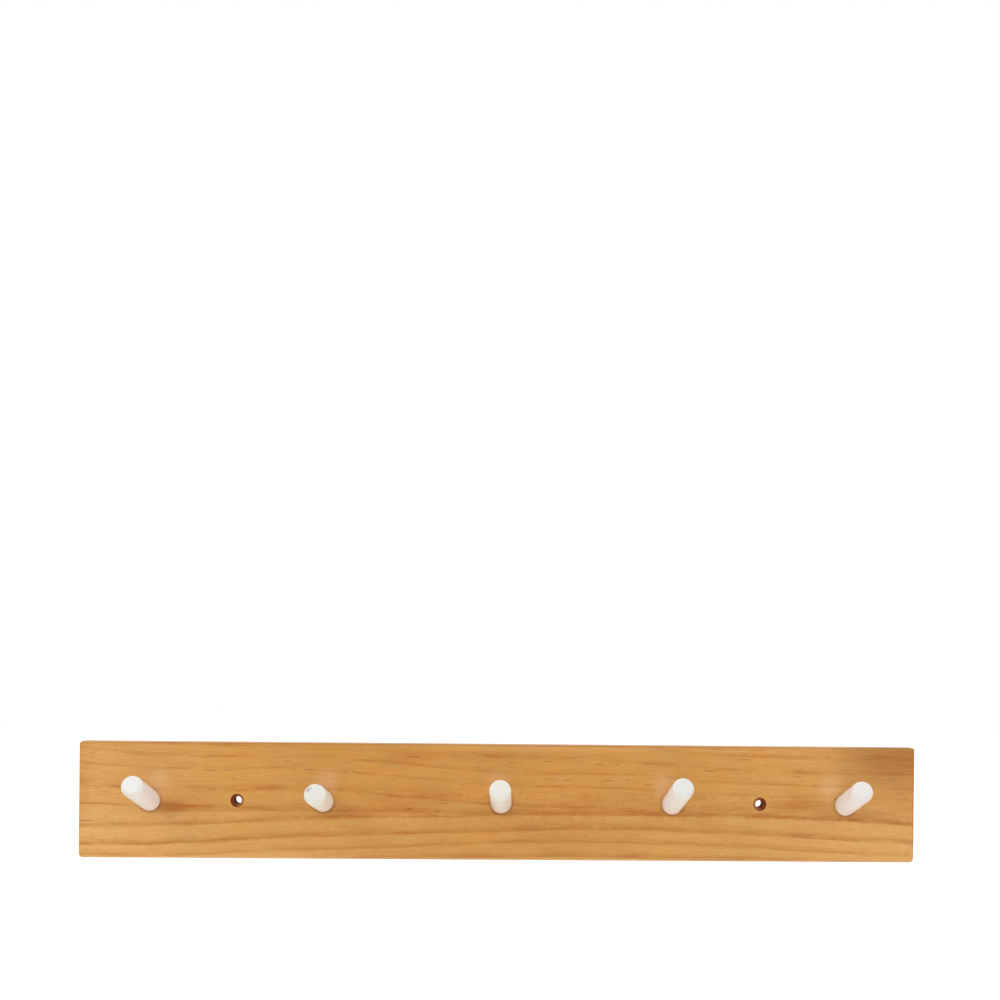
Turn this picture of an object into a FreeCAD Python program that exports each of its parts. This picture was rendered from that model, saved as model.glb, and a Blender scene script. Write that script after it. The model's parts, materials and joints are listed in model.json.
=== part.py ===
import FreeCAD, Part
import os

import Sketcher
from FreeCAD import Vector

# A peg rail: one pine board that hangs on a wall, with a row of straight dowel pegs.
# Frame: the origin is the centre of the board's back face. +X runs along the board, +Z is up,
# and the pegs stand out towards -Y. Lengths are millimetres, angles are degrees.
#
# Each peg has an axis of its own, tilted up and leaning a little to one side. Its seat in the
# board, the peg and the screw behind it are all turned about that one axis. Along it, zero is
# where the axis crosses the board's face, and the positive way goes into the board.

document = FreeCAD.newDocument("PegRail")

# ---------------------------------------------------------------- driving dimensions

general_sizes = [
    ("end_margin", 50, "from an end of the board to the first peg"),
    ("board_height", 83, "board, bottom edge to top edge"),
    ("board_thickness", 12, "board, back to face"),
    ("corner_top_left", 2.2, "radius of the sanded corner"),
    ("corner_top_right", 1.8, "radius of the sanded corner"),
    ("corner_bottom_left", 3, "radius of the sanded corner"),
    ("corner_bottom_right", 2.8, "radius of the sanded corner"),
    ("face_edge_radius", 1.4, "rounding all round the face"),
    ("back_edge_bevel", 0.6, "bevel all round the back"),
    ("peg_spacing", 125, "from one peg to the next, along the board's middle"),
    ("peg_diameter", 15, "painted dowel, where it stands clear of the board"),
    ("peg_reach", 57, "from the board's face to the peg's end, along its axis"),
    ("peg_end_bevel", 0.6, "bevel round the peg's end"),
    ("peg_tilt", 15, "upward tilt that all the seats are bored to"),
    ("seat_depth", 6, "seat in the board, along the peg's axis"),
    ("seat_clearance", 0.05, "seat wider than the painted dowel, on the radius"),
    ("end_relief", 0.1, "seat end of the dowel, sanded thinner, on the radius"),
    ("relief_start", 3, "the sanding starts this far in front of the face"),
    ("relief_run", 0.5, "the sanding comes to its full depth over this length"),
    ("screw_length", 30, "peg screw, head to point"),
    ("screw_diameter", 3.5, "peg screw, over its thread"),
    ("screw_point", 4, "length of the screw's point"),
    ("head_diameter", 7, "peg screw's head"),
    ("head_rim", 0.4, "straight rim of the head"),
    ("head_angle", 90, "full angle under the head"),
    ("head_margin", 0.3, "head's rim below the back of the board"),
    ("head_clearance", 0.3, "round the head in its recess"),
    ("shank_clearance", 0.25, "round the screw in the board"),
    ("thread_clearance", 0.02, "round the thread in the peg"),
    ("pilot_spare", 1.5, "pilot hole past the screw's point"),
    ("wall_hole_diameter", 5.5, "hole for a wall screw"),
    ("wall_sink_diameter", 9.8, "countersink for the wall screw's head"),
    ("wall_sink_angle", 90, "full angle of that countersink"),
]

# Hand-bored seats stray a little: in tilt, in lean to the right, and in place to the right.
seat_strays = [(0, 0, 0), (-5, 0.5, -1.5), (-1, -1, 1), (1.5, 1.5, -0.5), (0, -0.5, 0)]

sizes = document.addObject("Spreadsheet::Sheet", "Sizes")


def fill_sheet(rows):
    """Write each size to the sheet: note, value, alias."""
    for line, (alias, value, note) in enumerate(rows, start=1):
        sizes.set(f"A{line}", note)
        sizes.set(f"B{line}", str(value))
        sizes.setAlias(f"B{line}", alias)
    document.recompute()


stray_sizes = []
for number, (tilt, lean, across) in enumerate(seat_strays, start=1):
    stray_sizes.append((f"stray_tilt_{number}", tilt, f"seat {number}, more tilt than peg_tilt"))
    stray_sizes.append((f"stray_lean_{number}", lean, f"seat {number}, lean to the right"))
    stray_sizes.append((f"stray_across_{number}", across, f"seat {number}, bored this far to the right"))
fill_sheet(general_sizes + stray_sizes)

# ---------------------------------------------------------------- sizes worked out from those

row_length = f"({len(seat_strays) - 1} * Sizes.peg_spacing)"
half_length = f"({row_length} / 2 + Sizes.end_margin)"
half_height = "Sizes.board_height / 2"
peg_radius = "Sizes.peg_diameter / 2"
seat_end_radius = f"({peg_radius} - Sizes.end_relief)"
seat_radius = f"({peg_radius} + Sizes.seat_clearance)"
screw_radius = "Sizes.screw_diameter / 2"
head_radius = "Sizes.head_diameter / 2"
shank_hole_radius = f"({screw_radius} + Sizes.shank_clearance)"
recess_radius = f"({head_radius} + Sizes.head_clearance)"
pilot_radius = f"({screw_radius} + Sizes.thread_clearance)"
cone_slope = "tan(Sizes.head_angle / 2 * 1 deg)"
overrun = "1"  # a cut runs this far out of the piece
touching = 1e-6  # edges this near a face lie on it

peg_numbers = range(1, len(seat_strays) + 1)


def peg_x(number):
    """Where the peg's axis crosses the board's face, counted from the middle of the row."""
    steps = number - (len(seat_strays) + 1) / 2
    return f"({steps} * Sizes.peg_spacing + Sizes.stray_across_{number})"


def tilt_of(number):
    return f"((Sizes.peg_tilt + Sizes.stray_tilt_{number}) * 1 deg)"


def lean_of(number):
    return f"(Sizes.stray_lean_{number} * 1 deg)"


def back_of(number):
    """Along the peg's axis, from the face to the back of the board."""
    return f"(Sizes.board_thickness / (cos({tilt_of(number)}) * cos({lean_of(number)})))"


def head_top_of(number):
    """Along the peg's axis, from the face to the top of the screw's head."""
    return f"({back_of(number)} - {head_radius} * tan({tilt_of(number)}) - Sizes.head_margin)"


def peg_frame(number):
    """Placement of the peg's axis: its Y runs into the board."""
    return (
        f"placement(vector({peg_x(number)}; -Sizes.board_thickness; 0); "
        f"rotation({lean_of(number)}; 0; -{tilt_of(number)}))"
    )


# ---------------------------------------------------------------- helpers

def origin_plane(body, role):
    """The body's own XY, XZ or YZ plane."""
    return next(item for item in body.Origin.OriginFeatures if item.Role == role)


def new_body(label):
    body = document.addObject("PartDesign::Body", label)
    body.Label = label
    return body


def new_sketch(body, name, role, offset=None):
    """A sketch on one of the body's origin planes, moved by an offset expression."""
    sketch = body.newObject("Sketcher::SketchObject", name)
    sketch.AttachmentSupport = [(origin_plane(body, role), "")]
    sketch.MapMode = "FlatFace"
    if offset:
        sketch.setExpression("AttachmentOffset", offset)
    return sketch


def number_from(item, expression):
    """What an expression comes to now."""
    return float(item.evalExpression(f"({expression}) * 1.0"))


def hold(sketch, constraint, expression):
    """Add a sized constraint and bind its size to an expression."""
    index = sketch.addConstraint(constraint)
    sketch.setExpression(f"Constraints[{index}]", expression)


def draw_outline(sketch, corners):
    """A closed outline of straight lines, each corner held by two expressions."""
    points = []
    for across, up in corners:
        points.append(Vector(number_from(sketch, across), number_from(sketch, up), 0))
    lines = []
    for start, end in zip(points, points[1:] + points[:1]):
        lines.append(sketch.addGeometry(Part.LineSegment(start, end)))
    for line, following in zip(lines, lines[1:] + lines[:1]):
        sketch.addConstraint(Sketcher.Constraint("Coincident", line, 2, following, 1))
    for line, (across, up), point in zip(lines, corners, points):
        hold(sketch, Sketcher.Constraint("DistanceX", -1, 1, line, 1, point.x), across)
        hold(sketch, Sketcher.Constraint("DistanceY", -1, 1, line, 1, point.y), up)


def turn(body, kind, name, sketch):
    """Revolve or groove a profile a full turn about the sketch's X axis."""
    feature = body.newObject(kind, name)
    feature.Profile = sketch
    feature.ReferenceAxis = (sketch, ["H_Axis"])
    feature.Angle = 360
    return feature


def check_cut(feature):
    """Recompute and check that a cut has taken something away."""
    before = feature.BaseFeature.Shape.Volume
    document.recompute()
    if feature.Shape.Volume >= before - 1:
        raise RuntimeError(f"{feature.Label} cuts nothing")


def ease_edges(body, kind, name, wanted, size):
    """Round or bevel the edges of the body that pass the test."""
    document.recompute()
    base = body.Tip
    edges = [f"Edge{index}" for index, edge in enumerate(base.Shape.Edges, start=1) if wanted(edge)]
    feature = body.newObject(kind, name)
    feature.Base = (base, edges)
    feature.setExpression("Radius" if kind == "PartDesign::Fillet" else "Size", size)
    document.recompute()


# ---------------------------------------------------------------- rail_board

def make_board():
    body = new_body("rail_board")
    outline = new_sketch(body, "board_outline", "XZ_Plane")
    draw_outline(outline, [
        (f"-{half_length}", f"-{half_height}"),
        (half_length, f"-{half_height}"),
        (half_length, half_height),
        (f"-{half_length}", half_height),
    ])
    plank = body.newObject("PartDesign::Pad", "plank")
    plank.Profile = outline
    plank.setExpression("Length", "Sizes.board_thickness")

    corners = {"top_left": (-1, 1), "top_right": (1, 1), "bottom_left": (-1, -1), "bottom_right": (1, -1)}
    for corner, (side, level) in corners.items():
        def at_corner(edge):
            middle = edge.CenterOfMass
            on_end = middle.x * side > number_from(body, half_length) - touching
            on_rim = middle.z * level > sizes.board_height / 2 - touching
            return on_end and on_rim

        ease_edges(body, "PartDesign::Fillet", f"corner_{corner}", at_corner, f"Sizes.corner_{corner}")

    def on_face(edge):
        return edge.BoundBox.YMax < touching - sizes.board_thickness

    def on_back(edge):
        return edge.BoundBox.YMin > -touching

    ease_edges(body, "PartDesign::Fillet", "face_edge", on_face, "Sizes.face_edge_radius")
    ease_edges(body, "PartDesign::Chamfer", "back_edge", on_back, "Sizes.back_edge_bevel")

    for number in peg_numbers:
        bore_seat(body, number)
    drill_wall_holes(body)
    return body


def bore_seat(body, number):
    """One stepped cut about the peg's axis: seat, screw hole and head recess."""
    offset = (
        f"placement(vector(-Sizes.board_thickness; 0; {peg_x(number)}); "
        f"rotation(vector(0; 1; 0); {lean_of(number)}) * rotation(vector(0; 0; 1); -{tilt_of(number)}))"
    )
    profile = new_sketch(body, f"seat_profile_{number}", "YZ_Plane", offset)
    tilt = tilt_of(number)
    mouth = f"-({seat_radius} * tan({tilt}) + {overrun})"
    outside = f"({back_of(number)} + {recess_radius} * tan({tilt}) + {overrun})"
    head_seat = f"({head_top_of(number)} - Sizes.head_rim)"
    cone_start = f"({head_seat} - ({head_radius} - {shank_hole_radius}) / {cone_slope})"
    cone_end = f"({head_seat} + Sizes.head_clearance / {cone_slope})"
    draw_outline(profile, [
        (mouth, "0"),
        (outside, "0"),
        (outside, recess_radius),
        (cone_end, recess_radius),
        (cone_start, shank_hole_radius),
        ("Sizes.seat_depth", shank_hole_radius),
        ("Sizes.seat_depth", seat_radius),
        (mouth, seat_radius),
    ])
    check_cut(turn(body, "PartDesign::Groove", f"seat_{number}", profile))


def drill_wall_holes(body):
    """Two countersunk holes, each midway between an end peg and its neighbour."""
    face = "placement(vector(0; 0; Sizes.board_thickness); rotation(0; 0; 0))"
    centres = new_sketch(body, "wall_hole_centres", "XZ_Plane", face)
    place = f"({row_length} / 2 - Sizes.peg_spacing / 2)"
    reach = number_from(centres, place)
    for side in (-1, 1):
        centre = Vector(side * reach, 0, 0)
        circle = centres.addGeometry(Part.Circle(centre, Vector(0, 0, 1), sizes.wall_hole_diameter / 2))
        centres.addConstraint(Sketcher.Constraint("PointOnObject", circle, 3, -1))
        hold(centres, Sketcher.Constraint("DistanceX", -1, 1, circle, 3, side * reach), f"{side} * {place}")
        width = Sketcher.Constraint("Diameter", circle, sizes.wall_hole_diameter)
        hold(centres, width, "Sizes.wall_hole_diameter")
    document.recompute()
    holes = body.newObject("PartDesign::Hole", "wall_holes")
    holes.Profile = centres
    document.recompute()
    holes.DepthType = "ThroughAll"
    holes.HoleCutType = "Countersink"
    holes.HoleCutCustomValues = True
    holes.setExpression("Diameter", "Sizes.wall_hole_diameter")
    holes.setExpression("HoleCutDiameter", "Sizes.wall_sink_diameter")
    holes.setExpression("HoleCutCountersinkAngle", "Sizes.wall_sink_angle")
    check_cut(holes)


# ---------------------------------------------------------------- peg_1 to peg_5

def make_peg(number):
    """A painted dowel, sanded a little thinner at its seat end and bored for its screw."""
    body = new_body(f"peg_{number}")
    profile = new_sketch(body, f"dowel_profile_{number}", "YZ_Plane")
    draw_outline(profile, [
        ("-Sizes.peg_reach", "0"),
        ("Sizes.seat_depth", "0"),
        ("Sizes.seat_depth", seat_end_radius),
        ("Sizes.relief_run - Sizes.relief_start", seat_end_radius),
        ("-Sizes.relief_start", peg_radius),
        ("-Sizes.peg_reach", peg_radius),
    ])
    turn(body, "PartDesign::Revolution", f"dowel_{number}", profile)

    def round_the_end(edge):
        return edge.BoundBox.YMax < touching - sizes.peg_reach

    ease_edges(body, "PartDesign::Chamfer", f"dowel_end_{number}", round_the_end, "Sizes.peg_end_bevel")

    bottom = f"({head_top_of(number)} - Sizes.screw_length - Sizes.pilot_spare)"
    mouth = f"(Sizes.seat_depth + {overrun})"
    pilot_profile = new_sketch(body, f"pilot_profile_{number}", "YZ_Plane")
    draw_outline(pilot_profile, [
        (bottom, "0"),
        (mouth, "0"),
        (mouth, pilot_radius),
        (bottom, pilot_radius),
    ])
    check_cut(turn(body, "PartDesign::Groove", f"pilot_{number}", pilot_profile))
    body.setExpression("Placement", peg_frame(number))
    return body


# ---------------------------------------------------------------- peg_screw_1 to peg_screw_5

def make_screw(number):
    """A countersunk wood screw, head first, turned about the peg's axis."""
    body = new_body(f"peg_screw_{number}")
    profile = new_sketch(body, f"screw_profile_{number}", "YZ_Plane")
    cone_end = f"-(Sizes.head_rim + ({head_radius} - {screw_radius}) / {cone_slope})"
    draw_outline(profile, [
        ("-Sizes.screw_length", "0"),
        ("0", "0"),
        ("0", head_radius),
        ("-Sizes.head_rim", head_radius),
        (cone_end, screw_radius),
        ("Sizes.screw_point - Sizes.screw_length", screw_radius),
    ])
    turn(body, "PartDesign::Revolution", f"screw_{number}", profile)
    along = f"placement(vector(0; {head_top_of(number)}; 0); rotation(0; 0; 0))"
    body.setExpression("Placement", f"{peg_frame(number)} * {along}")
    return body


# ---------------------------------------------------------------- build, check and write

def check_document():
    """Stop if any feature has failed."""
    for item in document.Objects:
        if "Invalid" in item.State or "Error" in item.State:
            raise RuntimeError(f"{item.Label} did not build: {item.State}")


def write_parts(bodies):
    """One STEP file for each sub-part, named after it."""
    os.makedirs("parts", exist_ok=True)
    for body in bodies:
        shape = body.Shape
        if shape.isNull() or not shape.isValid() or len(shape.Solids) != 1:
            raise RuntimeError(f"{body.Label} is not one valid solid")
        shape.exportStep(f"parts/{body.Label}.step")
        print(f"{body.Label}: {shape.Volume / 1000:.2f} cm3")


parts = [make_board()]
parts += [make_peg(number) for number in peg_numbers]
parts += [make_screw(number) for number in peg_numbers]
document.recompute()
check_document()
write_parts(parts)
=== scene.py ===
import json
import math

import bmesh
import bpy
from mathutils import Matrix, Vector


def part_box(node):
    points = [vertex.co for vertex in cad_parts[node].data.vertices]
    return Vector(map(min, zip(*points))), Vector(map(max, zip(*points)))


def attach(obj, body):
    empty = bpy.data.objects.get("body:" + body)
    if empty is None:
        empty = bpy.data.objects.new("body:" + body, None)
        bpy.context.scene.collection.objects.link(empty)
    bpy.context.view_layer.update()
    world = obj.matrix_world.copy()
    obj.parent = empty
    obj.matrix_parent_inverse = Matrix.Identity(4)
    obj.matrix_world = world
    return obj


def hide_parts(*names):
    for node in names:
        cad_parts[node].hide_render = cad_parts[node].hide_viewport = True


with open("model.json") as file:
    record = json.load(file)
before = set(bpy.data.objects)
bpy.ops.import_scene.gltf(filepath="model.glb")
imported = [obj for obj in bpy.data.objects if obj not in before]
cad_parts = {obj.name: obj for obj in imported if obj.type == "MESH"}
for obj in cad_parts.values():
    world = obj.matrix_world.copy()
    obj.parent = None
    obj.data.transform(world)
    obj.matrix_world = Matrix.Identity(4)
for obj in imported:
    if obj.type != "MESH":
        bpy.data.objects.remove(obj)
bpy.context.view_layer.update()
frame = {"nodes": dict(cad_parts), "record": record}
record = frame["record"]
print("frame loaded, nodes:", len(frame["nodes"]))

mm = 0.001


# helpers for modelling

def deselectAll():
    if bpy.context.object and bpy.context.object.mode != "OBJECT":
        bpy.ops.object.mode_set(mode="OBJECT")
    bpy.ops.object.select_all(action="DESELECT")


def nameActive(name):
    piece = bpy.context.object
    piece.name = name
    piece.data.name = name
    return piece


def makeActive(piece):
    deselectAll()
    piece.select_set(True)
    bpy.context.view_layer.objects.active = piece


def settle(piece):  # put the object at the origin, with its place in the mesh
    makeActive(piece)
    bpy.ops.object.transform_apply(location=True, rotation=True, scale=True)


def moveTo(piece, place):
    piece.matrix_world = place
    settle(piece)
    return piece


def copyTo(piece, name, place):  # a copy with its own mesh, at this place
    makeActive(piece)
    bpy.ops.object.duplicate()
    return moveTo(nameActive(name), place)


def turnedTo(direction):  # local +Z looks along direction, local X stays level
    out = Vector(direction).normalized()
    side = Vector((0, 0, 1)).cross(out).normalized()
    up = out.cross(side)
    return Matrix((side, up, out)).transposed().to_4x4()


def openEdit(piece, kind):
    makeActive(piece)
    bpy.ops.object.mode_set(mode="EDIT")
    bpy.ops.mesh.select_mode(type=kind)
    bpy.ops.mesh.select_all(action="DESELECT")


def closeEdit():
    bpy.ops.object.mode_set(mode="OBJECT")


def pick(piece, kind, wanted):  # select what passes the test, in edit mode
    bpy.ops.mesh.select_mode(type=kind)
    bpy.ops.mesh.select_all(action="DESELECT")
    mesh = bmesh.from_edit_mesh(piece.data)
    items = {"VERT": mesh.verts, "EDGE": mesh.edges, "FACE": mesh.faces}[kind]
    found = 0
    for item in items:
        if wanted(item):
            item.select_set(True)
            found += 1
    bmesh.update_edit_mesh(piece.data)
    return found


def allAt(item, axis, place, near=1e-5):  # every corner of an edge or face lies at this place
    return all(abs(corner.co[axis] - place) < near for corner in item.verts)


def turnOutwards():  # all faces of the mesh in edit mode
    bpy.ops.mesh.select_all(action="SELECT")
    bpy.ops.mesh.normals_make_consistent(inside=False)


def useModifier(piece, kind, **settings):
    makeActive(piece)
    modifier = piece.modifiers.new(kind.lower(), kind)
    for key, value in settings.items():
        setattr(modifier, key, value)
    bpy.ops.object.modifier_apply(modifier=modifier.name)


def cutWith(piece, cutters):  # boolean difference, then the cutters go
    for cutter in cutters:
        useModifier(piece, "BOOLEAN", operation="DIFFERENCE", solver="EXACT", object=cutter)
        bpy.data.objects.remove(cutter, do_unlink=True)


def smooth(piece, degrees):
    makeActive(piece)
    bpy.ops.object.shade_smooth_by_angle(angle=math.radians(degrees), keep_sharp_edges=True)
    useModifier(piece, "WEIGHTED_NORMAL", keep_sharp=True)


def turnShape(name, profile, sides):  # closed shape round local Z, from (height, radius) pairs in mm
    height, radius = profile[0]
    deselectAll()
    bpy.ops.mesh.primitive_circle_add(
        vertices=sides, radius=radius * mm, fill_type="NGON", location=(0, 0, height * mm))
    piece = nameActive(name)
    settle(piece)
    openEdit(piece, "FACE")
    bpy.ops.mesh.select_all(action="SELECT")
    for nextHeight, nextRadius in profile[1:]:
        rise = (nextHeight - height) * mm
        bpy.ops.mesh.extrude_region_move(TRANSFORM_OT_translate={"value": (0, 0, rise)})
        grow = nextRadius / radius
        bpy.ops.transform.resize(value=(grow, grow, 1), center_override=(0, 0, nextHeight * mm))
        height, radius = nextHeight, nextRadius
    turnOutwards()
    closeEdit()
    return piece


# helpers for materials

def tone(code):  # a web colour as linear light
    parts = [int(code[i:i + 2], 16) / 255 for i in (0, 2, 4)]
    line = [p / 12.92 if p <= 0.04045 else ((p + 0.055) / 1.055) ** 2.4 for p in parts]
    return (*line, 1)


class Flow:
    # one output socket, with arithmetic on it
    def __init__(self, look, socket):
        self.look = look
        self.socket = socket

    def sum(self, operation, first, second=None):
        values = {0: first} if second is None else {0: first, 1: second}
        return self.look.node("Math", {"operation": operation}, values)

    def __add__(self, other):
        return self.sum("ADD", self, other)

    def __radd__(self, other):
        return self.sum("ADD", other, self)

    def __sub__(self, other):
        return self.sum("SUBTRACT", self, other)

    def __rsub__(self, other):
        return self.sum("SUBTRACT", other, self)

    def __mul__(self, other):
        return self.sum("MULTIPLY", self, other)

    def __rmul__(self, other):
        return self.sum("MULTIPLY", other, self)

    def __truediv__(self, other):
        return self.sum("DIVIDE", self, other)

    def __pow__(self, other):
        return self.sum("POWER", self, other)

    def __abs__(self):
        return self.sum("ABSOLUTE", self)

    def most(self, other):
        return self.sum("MAXIMUM", self, other)

    def root(self):
        return self.sum("SQRT", self)

    def ease(self, low, high, start=0, end=1):  # a soft step from start to end
        sockets = {"Value": self, "From Min": low, "From Max": high, "To Min": start, "To Max": end}
        return self.look.node("MapRange", {"interpolation_type": "SMOOTHSTEP"}, sockets)


class Look:
    # a material and its nodes
    def __init__(self, name, owner=None):
        self.material = owner or bpy.data.materials.new(name)
        self.material.use_nodes = True
        self.tree = self.material.node_tree
        self.tree.nodes.clear()

    def node(self, kind, settings=None, sockets=None, output=0):
        made = self.tree.nodes.new("ShaderNode" + kind)
        for key, value in (settings or {}).items():
            if key == "knots":
                self.drawCurve(made.mapping, value)
            else:
                setattr(made, key, value)
        for key, value in (sockets or {}).items():
            if isinstance(value, Flow):
                self.tree.links.new(value.socket, made.inputs[key])
            else:
                made.inputs[key].default_value = value
        return Flow(self, made.outputs[output]) if made.outputs else None

    def drawCurve(self, mapping, knots):
        line = mapping.curves[0]
        while len(line.points) < len(knots):
            line.points.new(0.5, 0.5)
        for point, (across, up) in zip(line.points, knots):
            point.location = (across, up)
            point.handle_type = "AUTO"
        mapping.update()

    def point(self):  # x, y and z of the shaded point, in mm
        spot = self.node("TexCoord", None, None, "Object")
        spot = self.node("VectorMath", {"operation": "SCALE"}, {0: spot, "Scale": 1 / mm})
        return [self.node("SeparateXYZ", None, {0: spot}, output) for output in range(3)]

    def join(self, x, y, z):
        return self.node("CombineXYZ", None, {0: x, 1: y, 2: z})

    def noise(self, point, cell, detail=2, roughness=0.5):  # a cell's size is along x, y and z, in mm
        vector = self.join(*[part / size for part, size in zip(point, cell)])
        sockets = {"Vector": vector, "Scale": 1, "Detail": detail, "Roughness": roughness}
        return self.node("TexNoise", None, sockets)

    def blend(self, share, first, second):
        settings = {"data_type": "RGBA", "clamp_factor": True}
        return self.node("Mix", settings, {0: share, 6: first, 7: second}, 2)

    def bump(self, height, distance, strength):
        sockets = {"Height": height, "Distance": distance, "Strength": strength}
        return self.node("Bump", None, sockets)

    def surface(self, **sockets):
        named = {key.replace("_", " "): value for key, value in sockets.items()}
        shader = self.node("BsdfPrincipled", None, named)
        self.node("OutputMaterial", None, {"Surface": shader})
        return self.material


def ellipse(along, up, wide, tall):  # 0 in the middle, 1 on the outline
    return ((along / wide) ** 2 + (up / tall) ** 2).root()


def dress(piece, material):
    piece.data.materials.clear()
    piece.data.materials.append(material)


# camera

view = dict(
    place=(-0.0012, -1.1143, 0.1096),
    turn=(90, -0.596, -1.691),  # degrees
    lens=55.22, sensor=36, shift=(-0.045, 0.1503),
)


def placeCamera():
    lens = bpy.data.cameras.new("camera")
    lens.lens = view["lens"]
    lens.sensor_width = view["sensor"]
    lens.shift_x, lens.shift_y = view["shift"]
    lens.clip_start, lens.clip_end = 0.01, 100
    camera = bpy.data.objects.new("camera", lens)
    camera.location = view["place"]
    camera.rotation_euler = [math.radians(angle) for angle in view["turn"]]
    bpy.context.scene.collection.objects.link(camera)
    bpy.context.scene.camera = camera
    print("camera placed")


placeCamera()


# where the board and the pegs stand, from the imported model

pegMounts = [mount for mount in record["mounts"] if mount["kind"] == "pin"]
holeMounts = [mount for mount in record["mounts"] if mount["kind"] == "bore"]
boardLow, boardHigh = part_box("rail_board")
faceY = boardLow.y
backY = boardHigh.y
thickness = (backY - faceY) / mm
halfLength = boardHigh.x / mm
halfHeight = boardHigh.z / mm


def pegPlace(mount):  # peg's own frame: zero where its axis crosses the face, +Z out of the board
    axis = Vector(mount["axis"])
    point = Vector(mount["pos_m"])
    root = point + axis * ((faceY - point.y) / axis.y)
    return Matrix.Translation(root) @ turnedTo(axis)


# the pine board

board = dict(
    corners=(("left", "top", 2.2), ("right", "top", 1.8), ("left", "bottom", 3.0), ("right", "bottom", 2.8)),
    faceRound=1.4, backBevel=0.6, roundSteps=5, bevelSteps=2,
    gridStep=10,  # mm between the cuts that let the edges waver
    waver=0.06, waverSeed=4, waverEase=0.4, waverFrom=0.1, waverTo=1.2, waverInset=0.05,
    seatRadius=7.55, seatDepth=6, screwHole=2.0, headRecess=3.8, headMargin=0.3,
    sinkRadius=4.9,
    sinkOverrun=1, seatOverrun=(3, 4),  # mm that the cutters stand past face and back
    roundness=64, smoothAngle=32,
    crack=dict(height=-15.2, reach=11.5, width=0.35, depth=3, bow=0.12),  # a dry split in the left end
    nick=dict(height=-28.8, radius=1.8, bite=1.2, aside=0.8, ahead=0.3),  # a knock on the right end
    chip=dict(peg=5, turn=150, radius=1.1, bite=0.6, ahead=0.35),  # splinter lost at the rim of one seat
    knockRough=0.12, knockSeed=7,
)


def crackCutter():
    split = board["crack"]
    deselectAll()
    bpy.ops.mesh.primitive_cube_add(size=1)
    cutter = nameActive("crackCutter")
    start, end = boardLow.x - 1 * mm, boardLow.x + split["reach"] * mm
    front, back = faceY - 1 * mm, faceY + split["depth"] * mm
    cutter.scale = (end - start, back - front, split["width"] * mm)
    cutter.location = ((start + end) / 2, (front + back) / 2, split["height"] * mm)
    settle(cutter)
    openEdit(cutter, "FACE")
    middle = (end, faceY, split["height"] * mm)
    pick(cutter, "FACE", lambda face: allAt(face, 0, end))  # runs out to nothing along the grain
    bpy.ops.transform.resize(value=(1, 1, 0.1), center_override=middle)
    pick(cutter, "FACE", lambda face: allAt(face, 1, back))  # and into the depth
    bpy.ops.transform.resize(value=(1, 1, 0.2), center_override=middle)
    for share in (0.25, 0.5, 0.75):
        bpy.ops.mesh.select_all(action="SELECT")
        bpy.ops.mesh.bisect(plane_co=(start + (end - start) * share, 0, 0), plane_no=(1, 0, 0))
    pick(cutter, "VERT", lambda vertex: start + 1 * mm < vertex.co.x < end - 1 * mm)
    bpy.ops.transform.translate(value=(0, 0, split["bow"] * mm))
    closeEdit()
    return cutter


def knockCutter(name, radius, middle):  # a rough ball
    deselectAll()
    bpy.ops.mesh.primitive_ico_sphere_add(subdivisions=3, radius=radius * mm, location=middle)
    cutter = nameActive(name)
    settle(cutter)
    openEdit(cutter, "VERT")
    bpy.ops.mesh.select_all(action="SELECT")
    bpy.ops.transform.vertex_random(
        offset=radius * board["knockRough"] * mm, uniform=1, seed=board["knockSeed"])
    closeEdit()
    return cutter


def damage():  # what use has left on the board
    nick, chip = board["nick"], board["chip"]
    outside = (nick["radius"] - nick["bite"]) * mm
    cutters = [crackCutter()]
    corner = (boardHigh.x + outside * nick["aside"], faceY - outside * nick["ahead"], nick["height"] * mm)
    cutters.append(knockCutter("nickCutter", nick["radius"], corner))
    turn, reach = math.radians(chip["turn"]), board["seatRadius"] + chip["radius"] - chip["bite"]
    spot = Vector((math.cos(turn) * reach * mm, math.sin(turn) * reach * mm, 0))
    rim = pegPlace(pegMounts[chip["peg"] - 1]) @ spot
    rim.y = faceY - chip["radius"] * chip["ahead"] * mm
    cutters.append(knockCutter("chipCutter", chip["radius"], rim))
    return cutters


def headTop(mount):  # from the face to the top of the screw's head, along the peg's axis, in mm
    axis = Vector(mount["axis"])
    rise = axis.z / math.sqrt(1 - axis.z ** 2)
    return thickness / -axis.y - screw["headRadius"] * rise - board["headMargin"]


def seatCutter(mount):  # seat, screw hole and head recess on the peg's axis
    seat, shank, recess = board["seatRadius"], board["screwHole"], board["headRecess"]
    ahead, behind = board["seatOverrun"]
    sinkStart = headTop(mount) - screw["rim"] + recess - screw["headRadius"]
    profile = [
        (ahead, seat), (-board["seatDepth"], seat), (-board["seatDepth"], shank),
        (recess - shank - sinkStart, shank), (-sinkStart, recess), (-thickness - behind, recess),
    ]
    cutter = turnShape("seatCutter", profile, board["roundness"])
    return moveTo(cutter, pegPlace(mount))


def holeCutter(mount):  # countersunk hole for a wall screw
    hole, sink, over = mount["dims"]["r_mm"], board["sinkRadius"], board["sinkOverrun"]
    profile = [(over, sink + over), (hole - sink, hole), (-thickness - over, hole)]
    cutter = turnShape("holeCutter", profile, board["roundness"])
    middle = Vector((mount["pos_m"][0], faceY, mount["pos_m"][2]))
    return moveTo(cutter, Matrix.Translation(middle) @ turnedTo((0, -1, 0)))


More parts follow.
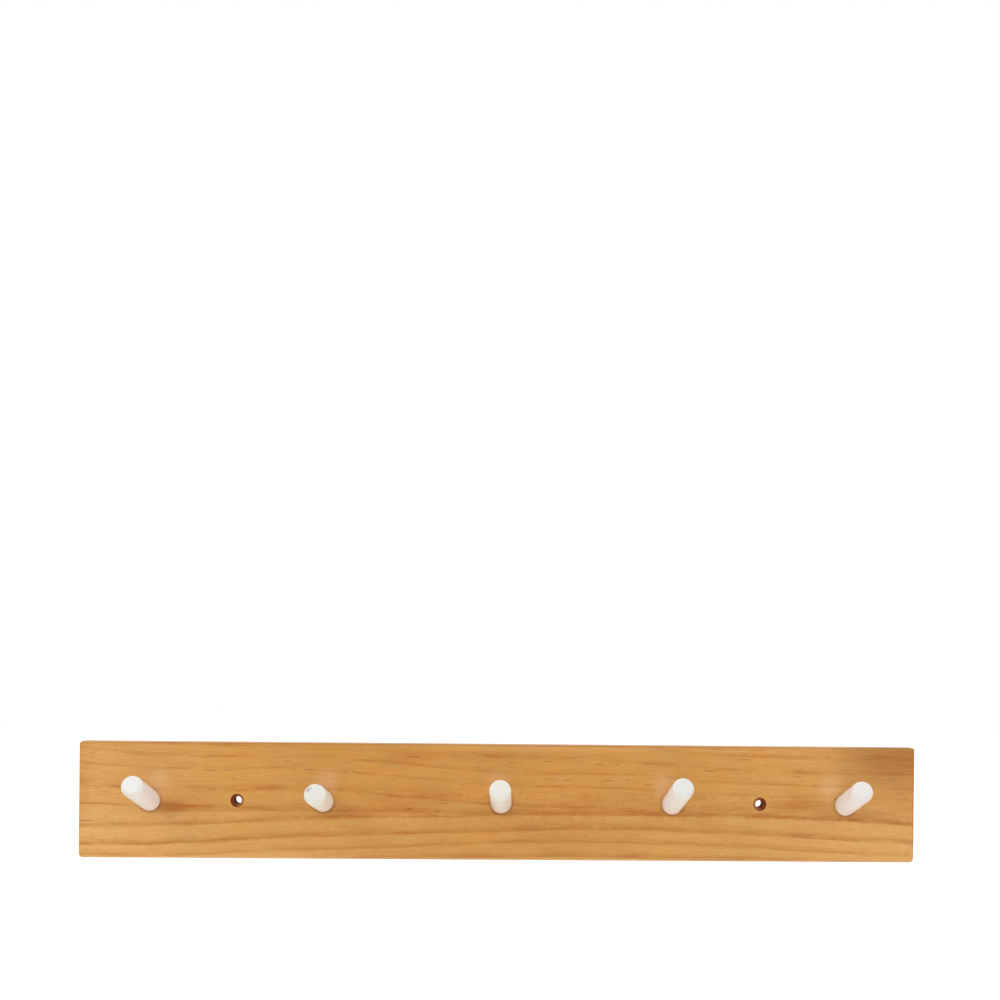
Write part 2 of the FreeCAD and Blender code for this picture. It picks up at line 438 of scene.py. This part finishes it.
def easeBoard(piece):  # corners, then the edges of face and back
    for end, level, radius in board["corners"]:
        x = boardLow.x if end == "left" else boardHigh.x
        z = boardLow.z if level == "bottom" else boardHigh.z
        pick(piece, "EDGE", lambda edge: allAt(edge, 0, x) and allAt(edge, 2, z))
        bpy.ops.mesh.bevel(offset=radius * mm, segments=board["roundSteps"], affect="EDGES")
    pick(piece, "EDGE", lambda edge: allAt(edge, 1, faceY))
    bpy.ops.mesh.bevel(offset=board["faceRound"] * mm, segments=board["roundSteps"], affect="EDGES")
    pick(piece, "EDGE", lambda edge: allAt(edge, 1, backY))
    bpy.ops.mesh.bevel(offset=board["backBevel"] * mm, segments=board["bevelSteps"], affect="EDGES")


def waverBoard(piece):  # no sanded edge is quite straight
    step = board["gridStep"] * mm
    for axis in (0, 2):  # cuts across the length, then along it
        place = boardLow[axis] + step
        while place < boardHigh[axis] - step / 2:
            bpy.ops.mesh.select_all(action="SELECT")
            point, normal = Vector(), Vector()
            point[axis], normal[axis] = place, 1
            bpy.ops.mesh.bisect(plane_co=point, plane_no=normal)
            place += step

    def onArris(vertex):  # on the rounded edge, off the flat sides
        spot = vertex.co
        deep = spot.y - faceY
        inset = min(spot.x - boardLow.x, boardHigh.x - spot.x, spot.z - boardLow.z, boardHigh.z - spot.z)
        rounded = board["waverFrom"] * mm < deep < board["waverTo"] * mm
        return rounded and inset > board["waverInset"] * mm

    pick(piece, "VERT", onArris)
    bpy.ops.transform.vertex_random(offset=board["waver"] * mm, uniform=0.5, seed=board["waverSeed"])
    bpy.ops.mesh.vertices_smooth(factor=board["waverEase"], repeat=1)


def shapeBoard():
    deselectAll()
    bpy.ops.mesh.primitive_cube_add(size=1, location=(boardLow + boardHigh) / 2, scale=boardHigh - boardLow)
    piece = nameActive("pineBoard")
    settle(piece)
    openEdit(piece, "EDGE")
    easeBoard(piece)
    waverBoard(piece)
    closeEdit()
    print("board roughed out")

    cutters = [seatCutter(mount) for mount in pegMounts]
    cutters += [holeCutter(mount) for mount in holeMounts]
    cutWith(piece, cutters + damage())
    smooth(piece, board["smoothAngle"])
    print("seats, wall holes and knocks cut")
    return piece


# the painted pegs

peg = dict(
    radius=7.5, reach=57, seatDepth=6, footBevel=0.3,
    endRound=3.2, endSteps=9, crown=0.4,  # the end is sanded round and the paint crowns a little
    crownRings=((0.4, 0.55), (0, 0.15)),  # share of the crown below the tip, share of the radius
    pilotRadius=1.77, pilotDepth=26.5, sides=72, smoothAngle=40,
    ringsAt=(0, 3, 8, 15, 24, 34, 44, 51), ripple=0.025, rippleMargin=1, rippleSeed=11,
)


def shapePeg():
    radius, foot = peg["radius"], -peg["seatDepth"]
    pilot, rounding = peg["pilotRadius"], peg["endRound"]
    profile = [(foot + peg["pilotDepth"], pilot), (foot, pilot)]
    profile += [(foot, radius - peg["footBevel"]), (foot + peg["footBevel"], radius)]
    profile += [(height, radius) for height in peg["ringsAt"]]
    rim = peg["reach"] - peg["crown"] - rounding
    for step in range(peg["endSteps"] + 1):
        turn = math.radians(90 * step / peg["endSteps"])
        profile.append((rim + rounding * math.sin(turn), radius - rounding * (1 - math.cos(turn))))
    profile += [(peg["reach"] - peg["crown"] * drop, radius * share) for drop, share in peg["crownRings"]]
    return turnShape("pegPattern", profile, peg["sides"])


def ripplePaint(piece, mount, seed):  # brushed paint is never quite even
    place = pegPlace(mount).inverted()
    low = peg["rippleMargin"] * mm
    high = (peg["reach"] - peg["endRound"] - peg["rippleMargin"]) * mm
    openEdit(piece, "VERT")
    pick(piece, "VERT", lambda vertex: low < (place @ vertex.co).z < high)
    bpy.ops.transform.vertex_random(offset=peg["ripple"] * mm, uniform=0, normal=0, seed=seed)
    closeEdit()


def shapePegs():
    pattern = shapePeg()
    made = []
    for number, mount in enumerate(pegMounts, start=1):
        piece = copyTo(pattern, f"paintedPeg{number}", pegPlace(mount))
        ripplePaint(piece, mount, peg["rippleSeed"] + number)
        smooth(piece, peg["smoothAngle"])
        made.append(piece)
    bpy.data.objects.remove(pattern, do_unlink=True)
    print("pegs turned:", len(made))
    return made


# the wood screws behind the pegs

screw = dict(
    length=30, shankRadius=1.5, coreRadius=1.1, runOut=(1.4, 0.6), point=4, tip=0.04,
    headRadius=3.5, rim=0.4, rimBevel=(0.12, 0.15), neckRadius=1.9, sides=48, smoothAngle=30,
    slotLength=3.7, slotWidth=0.8, slotDepth=1.7, slotTaper=0.55, slotMiddle=1.0, slotSides=24,
    threadRadius=1.73, threadStart=10, pitch=1.5, bareTip=0.8,
    ridgeRoot=0.8, ridgeHalf=0.36,  # shares of the core's radius and of the pitch
    threadSteps=20, pointSlices=12, pointShrink=0.92,
    stopTurn=37,  # degrees from one screw to the next, so no two stop alike
    zinc="c9c7bd", cloud="a9a89f", cloudSize=2 / 3,  # mm
)


def shapeRecess():  # cross recess: two tapered blades and a round middle
    deep, middle, taper = screw["slotDepth"], screw["slotMiddle"], screw["slotTaper"]
    cutters = []
    for turn in (0, 90):
        deselectAll()
        bpy.ops.mesh.primitive_cube_add(size=1, location=(0, 0, 0))
        blade = nameActive("recessBlade")
        blade.scale = (screw["slotLength"] * mm, screw["slotWidth"] * mm, 2 * deep * mm)
        blade.rotation_euler = (0, 0, math.radians(turn))
        settle(blade)
        openEdit(blade, "FACE")
        pick(blade, "FACE", lambda face: allAt(face, 2, deep * mm))
        bpy.ops.transform.resize(value=(taper, taper, 1), center_override=(0, 0, 0))
        closeEdit()
        cutters.append(blade)
    profile = [(-1, middle), (0.2, middle), (deep + 0.2, middle * 0.45), (deep + 0.6, 0.05)]
    cutters.append(turnShape("recessMiddle", profile, screw["slotSides"]))
    return cutters


def shapeThread():  # one ridge wound round the core, closed at both ends
    deselectAll()
    bpy.ops.mesh.primitive_circle_add(vertices=3, radius=1 * mm, fill_type="NOTHING")
    thread = nameActive("thread")
    crest, pitch = screw["threadRadius"], screw["pitch"]
    root, half = screw["coreRadius"] * screw["ridgeRoot"], pitch * screw["ridgeHalf"]
    corners = [(crest, 0), (root, half), (root, -half)]
    for vertex, (out, along) in zip(thread.data.vertices, corners):
        vertex.co = (out * mm, 0, (screw["threadStart"] + along) * mm)
    turns = (screw["length"] - screw["bareTip"] - screw["threadStart"]) / pitch
    steps = int(screw["threadSteps"] * turns)
    useModifier(thread, "SCREW", axis="Z", angle=math.tau * turns, screw_offset=turns * pitch * mm,
                steps=steps, render_steps=steps, use_normal_calculate=True)
    openEdit(thread, "EDGE")
    bpy.ops.mesh.select_non_manifold()
    bpy.ops.mesh.edge_face_add()
    pointStart, slices = screw["length"] - screw["point"], screw["pointSlices"]
    for cut in range(slices):  # the thread gets shallow towards the point
        low = (pointStart + screw["point"] * cut / slices) * mm
        high = (pointStart + screw["point"] * (cut + 1) / slices) * mm
        if pick(thread, "VERT", lambda vertex: low <= vertex.co.z < high):
            shrink = 1 - screw["pointShrink"] * (cut + 0.5) / slices
            bpy.ops.transform.resize(value=(shrink, shrink, 1), center_override=(0, 0, low))
    turnOutwards()
    closeEdit()
    return thread


def shapeScrew():
    head, rim, shank, core = screw["headRadius"], screw["rim"], screw["shankRadius"], screw["coreRadius"]
    start, end, neck = screw["threadStart"], screw["length"], screw["neckRadius"]
    bevelDeep, bevelWide = screw["rimBevel"]
    shankEnd, coreStart = screw["runOut"]  # mm before the thread
    profile = [
        (0, head - bevelWide), (bevelDeep, head), (rim, head),
        (rim + head - neck, neck), (rim + head - shank + 0.2, shank), (start - shankEnd, shank),
        (start - coreStart, core), (end - screw["point"], core), (end - 1, core * 0.35), (end, screw["tip"]),
    ]
    piece = turnShape("screwPattern", profile, screw["sides"])
    cutWith(piece, shapeRecess())
    thread = shapeThread()
    makeActive(piece)
    thread.select_set(True)
    bpy.ops.object.join()
    return piece


def shapeScrews():
    pattern = shapeScrew()
    made = []
    for number, mount in enumerate(pegMounts, start=1):
        turned = Matrix.Rotation(math.radians(screw["stopTurn"] * number), 4, "Z")
        place = pegPlace(mount) @ Matrix.Translation((0, 0, -headTop(mount) * mm)) @ turned
        piece = copyTo(pattern, f"backScrew{number}", place)
        smooth(piece, screw["smoothAngle"])
        made.append(piece)
    bpy.data.objects.remove(pattern, do_unlink=True)
    print("screws made:", len(made))
    return made


pineBoard = shapeBoard()
paintedPegs = shapePegs()
backScrews = shapeScrews()


# pine under clear lacquer

ringStations = [-300, -225, -150, -75, 0, 75, 150, 225, 300]  # mm along the board
ringLines = [  # the sharp lower edge of each year's dark wood, mm above the middle at each station
    dict(heights=(-48, -48.5, -45, -41.2, -39.5, -38.8, -40.3, -42.5, -45), band=4.2, depth=0.42),
    dict(heights=(-39.5, -39.3, -35.5, -32.5, -29.5, -28.2, -30.5, -33.5, -37), band=3.6, depth=0.34),
    dict(heights=(-32, -30.5, -26, -23.3, -20.5, -19, -20.5, -24, -28), band=4.4, depth=0.42),
    dict(heights=(-19.5, -17.5, -13.2, -11.3, -9.3, -8.7, -9.2, -10.8, -14.5), band=3.6, depth=0.42),
    dict(heights=(-9.8, -7.5, -7, -7.5, -8.4, -8, -8.5, -10, -13), band=5.5, depth=0.44, span=(-262, -30)),
    dict(heights=(-2.6, -4.2, -5.2, -6, -7, -8, -9, -10, -11), band=1.5, depth=0.5, span=(-400, -150)),
    dict(heights=(10.5, 6.5, 8.3, 4, -1.5, -5.5, -9, -12, -14), band=4.5, depth=0.4, span=(-400, 110)),
    dict(heights=(-6, -6, -6, -6.5, -7.2, -8, -8.5, -9.8, -13.2), band=11, depth=0.28, span=(30, 400)),
    dict(heights=(26.5, 22, 23.3, 18, 12.5, 10.8, 6.5, 5.3, 3.5), band=2.4, depth=0.3),
    dict(heights=(36.5, 31.5, 32, 27.5, 21.5, 20.5, 16, 13.5, 11.5), band=2.6, depth=0.3),
    dict(heights=(44, 40, 38, 35.5, 32.5, 31, 25, 22.8, 22), band=2.8, depth=0.3),
    dict(heights=(50, 48, 46, 44, 42, 41, 36, 33.5, 32.5), band=2.6, depth=0.3),
    dict(heights=(55, 54, 52, 50, 48, 46, 39.5, 38, 38.5), band=2.4, depth=0.3),
]
resinDashes = [  # x, height, half length in mm and darkness of the plainest resin canals
    (-291, 33, 3, 0.5), (-207, 21.4, 5, 0.7), (-194, 21.8, 4, 0.5), (-152, 28.5, 4, 0.6),
    (-282, 5.8, 5, 0.35), (-136, 22.5, 5.5, 0.7), (-111, 21, 3, 0.6), (-62, 32.3, 7, 0.7),
    (-77, 16.3, 2.5, 0.6), (-10, 29, 1.8, 0.6), (-45, -6.9, 2.4, 0.9), (-65, -5.2, 5, 0.75),
    (-40, -0.8, 6, 0.4), (-27, 12.4, 2, 0.5), (8, 29, 2.5, 0.5), (34, 29.6, 4, 0.6),
    (58, 28.5, 2.5, 0.5), (72, 28, 3, 0.65), (84, 28, 3, 0.65), (38, 17, 5, 0.5),
    (48, 16.2, 5, 0.5), (78, 16.2, 6, 0.6), (92, 17, 3, 0.6), (107, 13.5, 4, 0.5),
    (28, 11.4, 4, 0.6), (152, 23.5, 6, 0.7), (176, 32.2, 6, 0.5), (215, 20.3, 5, 0.6),
    (284, 19.2, 4, 0.6), (288, 8.3, 5, 0.45),
]
pine = dict(
    early="c08c44", honey="c78a3b", late="a66119", pale="d9a662", brown="96591f", resin="6e3304",
    raw="a86c3c", sinkShade="71370f",  # inside the wall holes
    # the next line's tones: the first is painted sheen on the lower edges, the second the split and painted
    # shade round each peg's foot, the third a painted reflection above each peg
    edgeSheen="d9b083", split="5a2c08", paintedShadingTone="f9d0ae",
    ringLean=0.55, ringCurl=0.012,  # how the rings run back into the board
    ringSpan=120,  # mm of height that a ring's curve can cover
    warp=1.6, wiggle=1.1,  # mm that the grain wanders, in long waves and in short ones
    lowDrift=2, highDrift=8,  # the ring lines that the grain follows below and above the middle
    middle=(-14, 8),  # mm of height over which one gives way to the other
    contrast=1.3,  # of late wood against early wood
    dashWidth=0.62,  # half width of a resin canal, in mm
    strayCanals=((17, 1.7, 0.86, 0.75), (9, 1.2, 0.8, 0.45)),  # cell along and up in mm, rarity, darkness
    patches=(  # darker or paler patches: x, z, reach along and up in mm, and share; the first three, right of and below the first two pegs, are darker wood and painted shadow together
        (-236, -5, 13, 7, 0.35), (-222, -1, 26, 10, 0.16), (-110, -8, 20, 5, 0.3), (-62, 3, 42, 12, 0.25),
        (-72, 30, 24, 7, 0.22), (-20, 33, 60, 4, 0.18), (12, -6.5, 55, 3, 0.3), (40, -22, 60, 14, 0.12),
        (66, 3, 12, 6, 0.22), (214, 0, 28, 4.5, 0.38), (-185, -39, 60, 5, -0.2),
    ),
    smoke=dict(start=246, end=292, lean=0.4),  # brown that gathers towards the top right
    pegReflection=dict(inward=0.967, left=2, up=12.5, wide=9.487, tall=11.402, share=0.24),  # painted reflection of the white peg in the lacquer above it, drawn a little towards the middle
    pegFootShade=dict(start=7.6, end=10.5, tall=1.031, share=0.38),  # painted shade round the foot of each peg, stronger below it
    coat=0.3, coatRoughness=0.22, roughness=0.42, relief=0.00006,
)


def ringEdge(look, along, heights):
    reach, tall = 2 * halfLength, pine["ringSpan"]
    knots = [(station / reach + 0.5, height / tall + 0.5) for station, height in zip(ringStations, heights)]
    return look.node("FloatCurve", {"knots": knots}, {"Value": along}) * tall - tall / 2


def darkRings(look, x, along, height, flecks, strength):  # the late wood of every year together
    pale = None  # what is left of the early wood after each ring
    for ring in ringLines:
        above = height - ringEdge(look, along, ring["heights"]) + (flecks - 0.5) * 0.9 + 0.5
        core = above.ease(ring["band"] * 0.25, ring["band"] * 1.25, ring["depth"] * 0.65, 0)
        halo = above.ease(0, ring["band"] * 2.6, ring["depth"] * 0.35, 0)
        dark = above.ease(-1, 0.9) * (core + halo)
        if "span" in ring:
            start, end = ring["span"]
            dark = dark * x.ease(start, start + 40) * x.ease(end - 40, end, 1, 0)
        left = 1 - dark * strength
        pale = left if pale is None else pale * left
    return 1 - pale


def strayCanals(look, x, depth, level, upper, warp):
    dashes = None
    for cellX, cellZ, rarity, ink in pine["strayCanals"]:
        spot = {"Vector": look.join((x + warp * 30) / cellX, depth / 5, level / cellZ), "Scale": 1}
        near = look.node("TexVoronoi", None, spot, "Distance")
        luck = look.node("SeparateColor", None, {0: look.node("TexVoronoi", None, spot, "Color")})
        drawn = near.ease(0.06, 0.26, ink, 0) * luck.ease(rarity, rarity + 0.12) * upper.ease(0, 1, 0.3, 1)
        dashes = drawn if dashes is None else dashes.most(drawn)
    return dashes


def addCanals(look, dashes, x, z, wiggle, onFace):
    flat = look.join(x, z + wiggle * 1.5, 0)
    wide = pine["dashWidth"]
    for dashX, dashZ, reach, ink in resinDashes:
        scale, shift = (1 / reach, 1 / wide, 0), (-dashX / reach, -dashZ / wide, 0)
        near = look.node("VectorMath", {"operation": "MULTIPLY_ADD"}, {0: flat, 1: scale, 2: shift})
        far = look.node("VectorMath", {"operation": "LENGTH"}, {0: near}, "Value")
        dashes = dashes.most(far.ease(0.2, 1.1, ink, 0) * onFace)
    return dashes


def boredHoles(look, wood, x, z, depth, streaks, onFace):  # also says where the bare inside is
    sink = board["sinkRadius"]
    hole = holeMounts[0]["dims"]["r_mm"]
    out = abs(x) - abs(holeMounts[0]["pos_m"][0]) / mm
    far = (out * out + z * z).root()
    rimLight = far.ease(sink, sink + 0.3) * far.ease(sink + 0.4, sink + 1.1, 1, 0) * onFace
    wood = look.blend(rimLight * 0.4, wood, tone(pine["pale"]))
    inside = (far - (sink + 0.15 - depth).most(hole + 0.15)).ease(-0.05, 0.05, 1, 0)
    outer = (out + (streaks - 0.5) * 2).ease(-3.5, 2.5)  # painted shade on the outer wall of each countersink
    lining = look.blend(outer, tone(pine["raw"]), tone(pine["sinkShade"]))
    return look.blend(inside, wood, lining), inside


def pegReflectionAndShade(look, wood, x, z, fibres, onFace):
    pegReflection, pegFootShade = pine["pegReflection"], pine["pegFootShade"]
    for mount in pegMounts:
        root = pegPlace(mount).translation / mm
        # painted reflection: a pale glow on the lacquer above each peg
        reflectionX = x - root.x * pegReflection["inward"] + pegReflection["left"]
        reflectionFar = ellipse(reflectionX, z - root.z - pegReflection["up"], pegReflection["wide"], pegReflection["tall"])
        paintedReflection = reflectionFar.ease(0, 1.4, pegReflection["share"], 0) * onFace * (0.55 + fibres * 0.5)
        wood = look.blend(paintedReflection, wood, tone(pine["paintedShadingTone"]))
        # painted shade round the peg's foot, stronger below, in the split's dark tone
        seatFar = ellipse(x - root.x, z - root.z, 1, pegFootShade["tall"])
        footShade = seatFar.ease(pegFootShade["start"], pegFootShade["end"], pegFootShade["share"], 0) * z.ease(-5, 4, 1, 0.5) * onFace
        wood = look.blend(footShade, wood, tone(pine["split"]))
    return wood


def endMarks(look, wood, x, y, z, depth):  # the split in the left end, and painted shade and sheen on the rounded edges
    split = board["crack"]
    bow = (x + halfLength - 6).ease(-4, 4, split["bow"], 0)
    inSplit = abs(z - split["height"] - bow).ease(0.12, 0.45, 0.35, 0)
    splitEnd = split["reach"] - halfLength
    inSplit = inSplit * x.ease(splitEnd - 2, splitEnd + 2, 1, 0)
    wood = look.blend(inSplit, wood, tone(pine["split"]))

    rough = (look.noise((x, y, z), (3, 3, 3), 3) - 0.5) * 1.2
    rim = (abs(x) - halfLength).most(abs(z) - halfHeight) + rough
    edgeShadeAndSheen = rim.ease(-2.2, -0.3) * depth.ease(0.3, 1.6, 1, 0)
    # the rounded edges are brown along the top, painted shade and built-up lacquer, and pale along the
    # bottom, painted sheen
    rimTone = look.blend(z.ease(-38, -26), tone(pine["edgeSheen"]), tone(pine["brown"]))
    return look.blend(edgeShadeAndSheen * x.ease(1 - halfLength, 8 - halfLength, 0.15, 0.45), wood, rimTone)


def pineLook():
    look = Look("lacqueredPine")
    x, y, z = look.point()
    depth = y + thickness  # behind the face
    onFace = depth.ease(0.5, 2, 1, 0)
    warp = look.noise((x, depth, z), (70, 16, 12)) - 0.5
    wiggle = look.noise((x, depth, z), (20, 8, 8)) - 0.5
    height = z + depth * pine["ringLean"] + depth * depth * pine["ringCurl"]
    height = height + warp * pine["warp"] + wiggle * pine["wiggle"]
    along = x / (2 * halfLength) + 0.5

    lowDrift = ringEdge(look, along, ringLines[pine["lowDrift"]]["heights"])
    highDrift = ringEdge(look, along, ringLines[pine["highDrift"]]["heights"])
    upper = z.ease(*pine["middle"])
    level = height - lowDrift * (1 - upper) - highDrift * upper  # follows the grain
    streaks = look.noise((x, depth, level), (26, 3, 1.5), 4, 0.62)
    flecks = look.noise((x, depth, level), (4.5, 2, 0.9), 3, 0.65)
    fibres = look.noise((x, depth, level), (9, 0.7, 0.3), 3, 0.6)

    patchy = look.noise((x, depth, z), (30, 9, 4), 3)
    strength = patchy.ease(0.32, 0.62, 0.6, 1.1) * (1 - upper) + patchy.ease(0.35, 0.65, 0.15, 1.2) * upper
    dark = darkRings(look, x, along, height, flecks, strength)
    dashes = strayCanals(look, x, depth, level, upper, warp)
    dashes = addCanals(look, dashes, x, z, wiggle, onFace)

    # painted light: the early wood is paler towards both ends and in the lower half, where more lamp light
    # falls, and paler along part of the top
    ends = (x / -halfLength).most(0) ** 3 * 0.8 + (x / halfLength).most(0) ** 2 * 0.62
    ends = ends * z.ease(-40, 10, 1.3, 0.8) + (1 - upper) * 0.2
    ends = ends + z.ease(35, 40) * x.ease(-70, -10) * x.ease(230, 270, 0.35, 0)
    warmth = look.noise((x, depth, level), (34, 9, 5), 3).ease(0.38, 0.66, 0, 0.8)
    soft = look.blend(warmth, tone(pine["early"]), tone(pine["honey"]))
    soft = look.blend(ends, soft, tone(pine["pale"]))
    grain = (streaks - 0.5) * (0.45 + upper * 0.2) + (flecks - 0.5) * 0.5 + (fibres - 0.5) * 0.45
    amount = (dark * (0.5 + streaks * 0.8) + grain + 0.1) * pine["contrast"]
    for patchX, patchZ, wide, tall, share in pine["patches"]:
        amount = amount + ellipse(x - patchX, z - patchZ, wide, tall).ease(0.3, 1.3, share, 0)
    amount = amount + x.ease(-300, -286, 0.2, 0) * z.ease(-20, -8)  # the end drinks more of the stain
    wood = look.blend(amount, soft, tone(pine["late"]))
    wood = look.blend(dashes * (0.35 + fibres * 0.7), wood, tone(pine["resin"]))
    smoke = pine["smoke"]
    smoked = (x + z * smoke["lean"]).ease(smoke["start"], smoke["end"])
    smoked = smoked * z.ease(2, 34, 0.3, 1) * z.ease(35, 41, 1, 0.7) * z.ease(-8, 0)
    smoked = smoked * (0.35 + streaks * 0.8)
    wood = look.blend(smoked, wood, tone(pine["brown"]))

    wood, inHole = boredHoles(look, wood, x, z, depth, streaks, onFace)
    wood = pegReflectionAndShade(look, wood, x, z, fibres, onFace)
    wood = endMarks(look, wood, x, y, z, depth)
    normal = look.bump(fibres * 0.5 + dark * 0.3, pine["relief"], 0.6)
    roughness = pine["roughness"] - dark * 0.06 + (fibres - 0.5) * 0.1 + inHole * 0.45
    return look.surface(
        Base_Color=wood, Roughness=roughness, Normal=normal, Specular_IOR_Level=0.2,
        Coat_Weight=pine["coat"] * (1 - inHole), Coat_Roughness=pine["coatRoughness"])


# white paint

paint = dict(
    colours=("eae9e6", "efece4", "ede9e1", "eeece8", "edeaea"),  # each peg's white differs a little
    ends=("dcdbd8", "d8d6cd", "dad8cf", "d7d7d1", "dbd7d2"),  # the end faces are painted duller: painted shade against the light they catch, and end grain that drinks the paint
    # of these tones, the second is painted shade on the lower rim of each end, the third painted bounce light
    # from the pine
    thin="e3d9c8", paintedShadingTone="cfc5b5", pineBounceTone="fdebdc", scuff="8b8781", roughness=0.32, relief=0.00004,
    bounceShare=0.9, bounceFrom=17, bounceTo=2,  # mm in front of the board, over which the pine's bounce light is painted
    lowRimShadeShare=0.7, scuffShare=0.62,
    scuffs=(  # peg, right and up from the middle of its end, half length and width in mm, turn in degrees
        (2, -4.3, 3.4, 2.3, 1.5, 50), (2, -2.6, 4.9, 1.0, 0.35, 25), (2, -4.4, 2.2, 0.8, 0.4, 70),
        (2, 1.6, 6.4, 1.1, 0.35, -10),
    ),
)


def paintLook(number, mount):
    look = Look(f"whitePaint{number}")
    x, y, z = look.point()
    blotch = look.noise((x, y, z), (5, 9, 5), 3)
    rough = look.noise((x, y, z), (1.2, 1.2, 1.2), 3)
    peel = look.noise((x, y, z), (1.25, 1.25, 1.25))
    thin, end = tone(paint["thin"]), tone(paint["ends"][number - 1])
    colour = look.blend(blotch.ease(0.4, 0.75, 0, 0.3), tone(paint["colours"][number - 1]), thin)

    axis = Vector(mount["axis"])
    tip = pegPlace(mount) @ Vector((0, 0, peg["reach"] * mm)) / mm
    tipX, tipY, tipZ = x - tip.x, y - tip.y, z - tip.z
    behind = tipX * -axis.x + tipY * -axis.y + tipZ * -axis.z  # down the peg from its end
    outX, outY, outZ = tipX + behind * axis.x, tipY + behind * axis.y, tipZ + behind * axis.z
    far = (outX * outX + outY * outY + outZ * outZ).root()
    # painted bounce light: the pine's warm light on the underside of each peg, near the board
    foot = behind.ease(peg["reach"] - paint["bounceFrom"], peg["reach"] - paint["bounceTo"])
    foot = foot * outZ.ease(-7.4, -3, 1, 0.2)
    colour = look.blend(foot * paint["bounceShare"], colour, tone(paint["pineBounceTone"]))  # painted warm reflection of the pine on the peg's underside near the board
    # the end face takes the duller tone: painted shade and end grain
    colour = look.blend(behind.ease(0.5, 2.5, 1, 0), colour, end)
    rim = far.ease(4, 6.6, 0, 1) * behind.ease(1.2, 4, 1, 0)  # the sanded edge, where the paint is thin; its lower part also carries painted shade
    # painted shade on the lower part of the end's rounded rim
    colour = look.blend(rim * outZ.ease(-5, 1, paint["lowRimShadeShare"], 0), colour, tone(paint["paintedShadingTone"]))
    colour = look.blend(rim * rough.ease(0.45, 0.7, 0.1, 0.5), colour, thin)
    for owner, right, up, length, width, turn in paint["scuffs"]:
        if owner != number:
            continue
        lean = math.radians(turn)
        scuffX, scuffZ = outX - right, outZ - up
        along = scuffX * math.cos(lean) + scuffZ * math.sin(lean)
        across = scuffZ * math.cos(lean) - scuffX * math.sin(lean)
        edge = ellipse(along, across, length, width) + (rough - 0.5) * 2.2
        mark = edge.ease(0.45, 1.15, paint["scuffShare"], 0) * behind.ease(2, 3.5, 1, 0)
        colour = look.blend(mark, colour, tone(paint["scuff"]))
    normal = look.bump(peel, paint["relief"], 0.5)
    return look.surface(Base_Color=colour, Roughness=paint["roughness"], Normal=normal)


def screwLook():
    look = Look("zincPlate")
    cloud = look.noise(look.point(), [screw["cloudSize"]] * 3, 3, 0.6)
    colour = look.blend(cloud, tone(screw["zinc"]), tone(screw["cloud"]))
    return look.surface(Base_Color=colour, Metallic=1, Roughness=0.25 + cloud * 0.2)


dress(pineBoard, pineLook())
for number, (piece, mount) in enumerate(zip(paintedPegs, pegMounts), start=1):
    dress(piece, paintLook(number, mount))
zinc = screwLook()
for piece in backScrews:
    dress(piece, zinc)
print("materials made")


# the pieces ride on the rail

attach(pineBoard, "root")
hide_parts("rail_board")
for number, piece in enumerate(paintedPegs, start=1):
    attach(piece, "root")
    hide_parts(f"peg_{number}")
for number, piece in enumerate(backScrews, start=1):
    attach(piece, "root")
    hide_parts(f"peg_screw_{number}")


# floor, world and lamps

studio = dict(
    floorLevel=-0.6, floorSize=24, floorColour="e9e9e7", floorRoughness=0.9, floorGlow=0.45,
    roomStrength=0.85,
    lamps=(
        dict(name="leftHigh", place=(-0.9, -0.75, 0.7), aim=(0, 0, 0), size=0.6, power=3.2),
        dict(name="rightHigh", place=(1.05, -0.75, 0.65), aim=(0, 0, 0), size=0.7, power=2.4),
        dict(name="overhead", place=(0, -0.9, 0.55), aim=(0, -0.9, -0.6), size=1.4, power=1.8),
        dict(name="floorWash", place=(0, -0.9, -0.15), aim=(0, -0.9, -0.6), size=1.2, power=6),
    ),
)


def seenDirectly(look):  # 1 where the camera looks, also by way of gloss or glass
    kinds = ("Camera", "Glossy", "Transmission")
    rays = [look.node("LightPath", None, None, f"Is {kind} Ray") for kind in kinds]
    return rays[0].most(rays[1]).most(rays[2])


def layFloor():
    deselectAll()
    bpy.ops.mesh.primitive_plane_add(size=studio["floorSize"], location=(0, 0, studio["floorLevel"]))
    floor = nameActive("floor")
    look = Look("floorPaper")
    look.surface(Base_Color=tone(studio["floorColour"]), Roughness=studio["floorRoughness"],
                 Emission_Color=seenDirectly(look) * studio["floorGlow"], Emission_Strength=1)
    dress(floor, look.material)


def lightWorld():
    world = bpy.data.worlds.new("studio")
    bpy.context.scene.world = world
    look = Look("world", world)
    strength = seenDirectly(look) * (1 - studio["roomStrength"]) + studio["roomStrength"]
    shader = look.node("Background", None, {"Color": (1, 1, 1, 1), "Strength": strength})
    look.node("OutputWorld", None, {"Surface": shader})


def hangLamps():
    for lamp in studio["lamps"]:
        light = bpy.data.lights.new(lamp["name"], "AREA")
        light.energy = lamp["power"]
        light.size = lamp["size"]
        holder = bpy.data.objects.new(lamp["name"], light)
        holder.location = lamp["place"]
        look = Vector(lamp["aim"]) - Vector(lamp["place"])
        holder.rotation_euler = look.to_track_quat("-Z", "Y").to_euler()
        bpy.context.scene.collection.objects.link(holder)


layFloor()
lightWorld()
hangLamps()
bpy.context.scene.view_settings.view_transform = "Standard"
print("studio lit")
